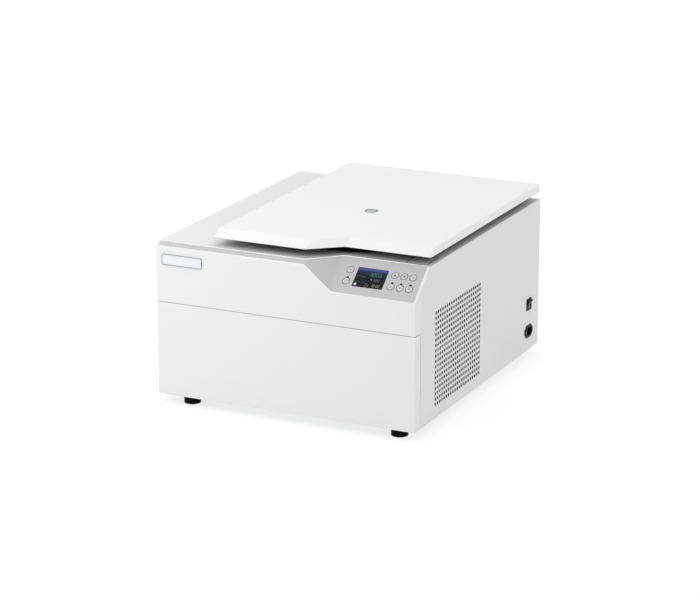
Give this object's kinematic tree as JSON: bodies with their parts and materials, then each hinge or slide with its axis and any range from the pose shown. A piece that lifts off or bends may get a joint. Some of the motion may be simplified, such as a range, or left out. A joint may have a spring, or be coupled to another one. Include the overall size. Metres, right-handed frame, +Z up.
{
  "type": "microplate centrifuge",
  "caption": "Bench-top microplate centrifuge: white cabinet with a flat hinged lid, stepped sloping control panel, side vent grille and a swing-out plate rotor in a steel bowl.",
  "frame": {"origin": "on the floor under the centre of the cabinet's footprint", "axes": "+X to the right as seen by the user, +Y to the rear, +Z up"},
  "size_m": [0.5357, 0.602, 0.3478],
  "materials": {
    "white_cover": "fine satin white powder coat",
    "white_moulding": "smooth satin white moulded plastic",
    "white_lid": "smooth satin white moulded plastic",
    "grey_inlay": "matt light grey printed sheet",
    "steel_sheet": "plain sheet steel",
    "stainless": "brushed stainless steel",
    "bright_steel": "polished steel",
    "black_rubber": "black rubber",
    "black_plastic": "matt black plastic",
    "light_key": "matt light grey keycap",
    "led": "dark lamp lens",
    "display": "dark glass over a colour display",
    "circuit_board": "green circuit board",
    "port_glass": "smoked clear window",
    "port_trim": "grey trim ring",
    "foam": "rigid insulation foam",
    "cast_aluminium": "machined aluminium alloy",
    "black_motor": "black enamel",
    "aluminium_fins": "bare aluminium fins"
  },
  "bodies": {
    "cabinet": {"base_tray": "steel_sheet", "left_side_panel": "white_cover", "right_side_panel": "white_cover", "rear_panel": "white_cover", "front_fascia": "white_moulding", "lower_front_cover": "white_moulding", "top_deck": "white_cover", "deck_access_plate": "white_cover", "control_inlay": "grey_inlay", "display_module": "display", "control_board": "circuit_board", "indicator_leds": "led", "rubber_feet": "black_rubber", "power_switch_housing": "black_plastic", "mains_inlet": "black_plastic", "inlet_screws": "bright_steel", "panel_screws": "bright_steel", "hinge_brackets": "bright_steel", "hinge_pins": "bright_steel", "latch_housing": "steel_sheet", "chamber_bowl": "stainless", "chamber_gasket": "black_rubber", "insulation_jacket": "foam", "spindle_seal": "black_rubber", "drive_motor": "black_motor", "motor_mount_plate": "steel_sheet", "vibration_dampers": "black_rubber", "compressor": "black_motor", "compressor_grommets": "black_rubber", "condenser": "aluminium_fins", "fan_frame": "black_plastic", "power_board": "circuit_board"},
    "lid": {"lid_shell": "white_lid", "lid_liner": "black_plastic", "lid_armour_plate": "steel_sheet", "lid_port_window": "port_glass", "lid_port_bezel": "port_trim", "lid_striker": "bright_steel", "lid_hinge_leaves": "bright_steel"},
    "rotor": {"spindle_shaft": "bright_steel", "rotor_yoke": "cast_aluminium", "trunnion_pins": "bright_steel", "rotor_nut": "cast_aluminium"},
    "carrier_right": {"plate_carrier_right": "cast_aluminium"},
    "carrier_left": {"plate_carrier_left": "cast_aluminium"},
    "rocker": {"power_rocker": "black_plastic"},
    "latch_bolt": {"latch_bolt": "bright_steel"},
    "fan": {"fan_rotor": "black_plastic"},
    "key_left_upper": {"key_left_upper": "light_key"},
    "key_left_lower": {"key_left_lower": "light_key"},
    "key_upper_1": {"key_upper_1": "light_key"},
    "key_upper_2": {"key_upper_2": "light_key"},
    "key_upper_3": {"key_upper_3": "light_key"},
    "key_lower_1": {"key_lower_1": "light_key"},
    "key_lower_2": {"key_lower_2": "light_key"},
    "key_lower_3": {"key_lower_3": "light_key"}
  },
  "joints": [
    {"name": "lid_hinge", "type": "hinge", "parent": "cabinet", "child": "lid", "pos_m": [0, 0.292, 0.3265], "axis": [-1, 0, 0], "range_deg": [0, 80]},
    {"name": "rotor_spin", "type": "hinge", "parent": "cabinet", "child": "rotor", "pos_m": [0.052, -0.03132, 0.24925], "axis": [0, 0, 1], "continuous": true},
    {"name": "carrier_right_swing", "type": "hinge", "parent": "rotor", "child": "carrier_right", "pos_m": [0.12698, -0.03132, 0.24925], "axis": [0, -1, 0], "range_deg": [0, 90]},
    {"name": "carrier_left_swing", "type": "hinge", "parent": "rotor", "child": "carrier_left", "pos_m": [-0.02298, -0.03132, 0.24925], "axis": [0, 1, 0], "range_deg": [0, 90]},
    {"name": "power_rocker_tilt", "type": "hinge", "parent": "cabinet", "child": "rocker", "pos_m": [0.2629, 0.2476, 0.1145], "axis": [0, -1, 0], "range_deg": [0, 24]},
    {"name": "latch_bolt_slide", "type": "slide", "parent": "cabinet", "child": "latch_bolt", "axis": [1, 0, 0], "range_m": [0, 0.016]},
    {"name": "fan_spin", "type": "hinge", "parent": "cabinet", "child": "fan", "pos_m": [0.2035, -0.1055, 0.0815], "axis": [1, 0, 0], "continuous": true},
    {"name": "key_left_upper_press", "type": "slide", "parent": "cabinet", "child": "key_left_upper", "axis": [0, 0.6388, -0.7694], "range_m": [0, 0.0004], "stiffness_N_per_m": 1500},
    {"name": "key_left_lower_press", "type": "slide", "parent": "cabinet", "child": "key_left_lower", "axis": [0, 0.6388, -0.7694], "range_m": [0, 0.0004], "stiffness_N_per_m": 1500},
    {"name": "key_upper_1_press", "type": "slide", "parent": "cabinet", "child": "key_upper_1", "axis": [0, 0.6388, -0.7694], "range_m": [0, 0.0004], "stiffness_N_per_m": 1500},
    {"name": "key_upper_2_press", "type": "slide", "parent": "cabinet", "child": "key_upper_2", "axis": [0, 0.6388, -0.7694], "range_m": [0, 0.0004], "stiffness_N_per_m": 1500},
    {"name": "key_upper_3_press", "type": "slide", "parent": "cabinet", "child": "key_upper_3", "axis": [0, 0.6388, -0.7694], "range_m": [0, 0.0004], "stiffness_N_per_m": 1500},
    {"name": "key_lower_1_press", "type": "slide", "parent": "cabinet", "child": "key_lower_1", "axis": [0, 0.6388, -0.7694], "range_m": [0, 0.0004], "stiffness_N_per_m": 1500},
    {"name": "key_lower_2_press", "type": "slide", "parent": "cabinet", "child": "key_lower_2", "axis": [0, 0.6388, -0.7694], "range_m": [0, 0.0004], "stiffness_N_per_m": 1500},
    {"name": "key_lower_3_press", "type": "slide", "parent": "cabinet", "child": "key_lower_3", "axis": [0, 0.6388, -0.7694], "range_m": [0, 0.0004], "stiffness_N_per_m": 1500}
  ]
}
